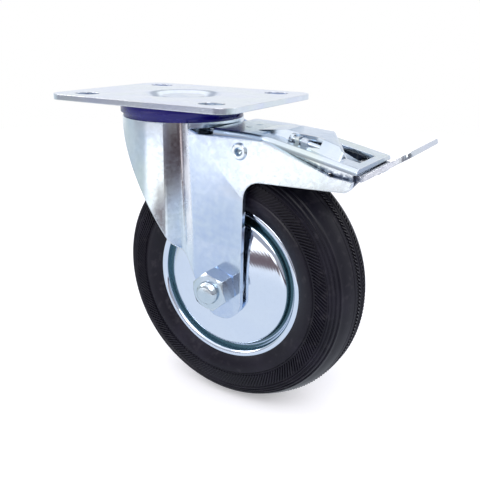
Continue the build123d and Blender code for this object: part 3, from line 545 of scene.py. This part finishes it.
# The leaf's two rivets are set nearly flush with the roof.
rivet_outline = [(0, -0.0150), (0.0016, -0.0150), (0.0016, -0.0121), (0.0020, -0.0119), (0.0019, -0.01183),
                 (0.0014, -0.01172), (0, -0.01168)]
for number, across in enumerate((-0.0045, 0.0045)):
    rivet = turned(f"leaf_rivet_{number + 1}", rivet_outline, Vector((0.0396, across, 0)), steps=40,
                   axis=(0, 0, 1))
    smooth(rivet, crease=50)
    fit(rivet, lever_zinc, "lever")
    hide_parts("leaf_rivets")


# ---------------------------------------------------------------- pedal
# The foot pedal turns on a pin in the lever's sides; its tread is bent up from a closed root.
# It is plated duller than the lever; the root's corner is painted dark in patches, as painted shade.
painted_root_shade = (0.12, 0.13, 0.17, 1)
pedal = Zinc("pedal_zinc", pale=(0.66, 0.69, 0.78, 1), tint=(0.58, 0.62, 0.74, 1),
             second_tint=(0.60, 0.66, 0.70, 1), gloss=0.16)
root = pedal.band(pedal.axis("X"), 0.0995, 0.0965) * pedal.band(pedal.noise(0.0016, 4), 0.36, 0.60)
pedal.colour = pedal.blend(root * 0.8, pedal.colour, painted_root_shade)
pedal.roughness = pedal.roughness + 0.2 * root
dress(pedal.plated(), "pedal")


# ---------------------------------------------------------------- studio
# A pale floor under the wheel with soft light from above and a darker room behind it. A white sweep in
# front is painted on the floor as glow that only reflections see, which the bright zinc picks up.
white = (1, 1, 1, 1)
# Colours of the painted reflection, which the floor glows in for reflections only.
painted_sweep_white = (1.75, 1.70, 1.64, 1)
painted_floor_behind = (0.78, 0.84, 0.92, 1)
painted_floor_ahead = (0.82, 0.84, 0.92, 1)
painted_card_grey = (0.68, 0.74, 0.74, 1)
painted_cloth_brown = (0.10, 0.07, 0.08, 1)
painted_board_brown = (0.19, 0.14, 0.15, 1)


class Surroundings(Finish):
    """The air round the object, built with the same nodes as a finish."""

    def __init__(self, name):
        bpy.context.scene.world = bpy.data.worlds.new(name)
        bpy.context.scene.world.use_nodes = True
        self.tree = bpy.context.scene.world.node_tree
        self.shader = self.tree.nodes["Background"]
        self.place = self.node("TexCoord").outputs["Generated"]


bpy.ops.object.select_all(action="DESELECT")
bpy.ops.mesh.primitive_circle_add(vertices=96, radius=0.9, fill_type="NGON",
                                  location=(0, 0, axle.z - tyre_radius))
floor = bpy.context.object
floor.name = "floor"
settle(floor)

# To the eye the floor is matt paint with a little glow.
paint = Finish("floor_paint", Specular_IOR_Level=0.0)
grit = paint.noise(0.004, 4)
paint.show(paint.blend(grit, (0.80, 0.79, 0.82, 1), (0.83, 0.82, 0.85, 1)), 0.7 + 0.1 * grit)
sight = paint.node("LightPath")
paint.feed(paint.shader.inputs["Emission Color"], white)
paint.feed(paint.shader.inputs["Emission Strength"], Level(paint, sight.outputs["Is Camera Ray"]) * 0.30)

# Painted reflection: further out the floor glows for reflections only, in patches standing for a sweep, a
# card, a cloth and a board.
x = paint.axis("X")
y = paint.axis("Y")
away = paint.length(paint.place)
sweep_patch = paint.band(away, 0.22, 0.50) * paint.band(x + 0.55 * y, 0.06, -0.06)
sweep_patch = sweep_patch * paint.band(y, -0.05, -0.15) * paint.band(x - 0.75 * y, -0.10, 0.06)
card_patch = paint.band(x - 0.75 * y, 0.0, -0.15) * paint.band(x, -0.06, -0.25)
cloth_patch = paint.band(x, 0.0, 0.06) * paint.band(y, 0.1, -0.05) * paint.band(away, 0.36, 0.50)
board_patch = paint.band(x + 0.5 * y, -0.34, -0.31) * paint.band(x, 0.06, 0.03)
board_patch = board_patch * paint.strip(y, -0.46, -0.42, -0.285, -0.268)
painted_reflection = paint.blend(paint.band(y, 0.0, 0.25), painted_floor_behind, painted_floor_ahead)
for share, colour in ((card_patch, painted_card_grey), (sweep_patch, painted_sweep_white), (cloth_patch, painted_cloth_brown), (board_patch, painted_board_brown)):
    painted_reflection = paint.blend(share, painted_reflection, colour)
glow = paint.node("Emission", {}, {"Color": painted_reflection, "Strength": 1.0})
both = paint.node("MixShader", {}, {0: sight.outputs["Is Glossy Ray"], 1: paint.shader.outputs[0],
                                    2: glow.outputs[0]})
paint.feed(paint.tree.nodes["Material Output"].inputs[0], both.outputs[0])
floor.data.materials.append(paint.material)

# The air is white to the eye, plain and soft as light, and a room with a dark wall in the mirror.
near_grey = (0.62, 0.68, 0.70, 1)
far_white = (0.92, 0.94, 0.98, 1)
upper_grey = (0.55, 0.58, 0.64, 1)
dark_wall = (0.42, 0.42, 0.46, 1)
ceiling = (1.2, 1.2, 1.22, 1)
low_light = (0.55, 0.55, 0.58, 1)
high_light = (0.90, 0.91, 0.95, 1)
air = Surroundings("studio")
height = air.axis("Z")
depth = air.axis("Y")
room = air.blend(air.band(depth, -0.1, 0.5), near_grey, far_white)
room = air.blend(air.band(height, 0.36, 0.50), room, upper_grey)
room = air.blend(air.band(depth, -0.25, -0.5) * air.band(height, 0.42, 0.30), room, dark_wall)
room = air.blend(air.band(height, 0.62, 0.75), room, ceiling)
plain = air.blend(air.band(height, -0.2, 0.8), low_light, high_light)
ray = air.node("LightPath")
view = air.blend(ray.outputs["Is Glossy Ray"], plain, room)
view = air.blend(ray.outputs["Is Camera Ray"], view, white)
air.feed(air.shader.inputs["Color"], view)

lit_point = Vector((0.02, 0, -0.06))
lamps = (("key", (0.45, -0.75, 0.75), 0.7, 6.0), ("fill", (-0.8, -0.35, 0.45), 0.5, 2.5),
         ("rear", (0.7, 0.6, 0.5), 0.6, 1.5))
for name, stand, size, watts in lamps:
    lamp = bpy.data.lights.new(name, "AREA")
    lamp.size = size
    lamp.energy = watts
    lamp_object = bpy.data.objects.new(name, lamp)
    bpy.context.scene.collection.objects.link(lamp_object)
    lamp_object.location = stand
    lamp_object.rotation_euler = (lit_point - Vector(stand)).to_track_quat("-Z", "Y").to_euler()

camera = bpy.data.cameras.new("camera")
camera.lens = 47.02
camera.sensor_width = 36
camera_object = bpy.data.objects.new("camera", camera)
bpy.context.scene.collection.objects.link(camera_object)
camera_object.location = (0.18229655, -0.24604112, 0.03031131)
camera_object.rotation_euler = (1.242651, -0.0117307, 0.5508053)
bpy.context.scene.camera = camera_object
bpy.context.scene.view_settings.view_transform = "Standard"
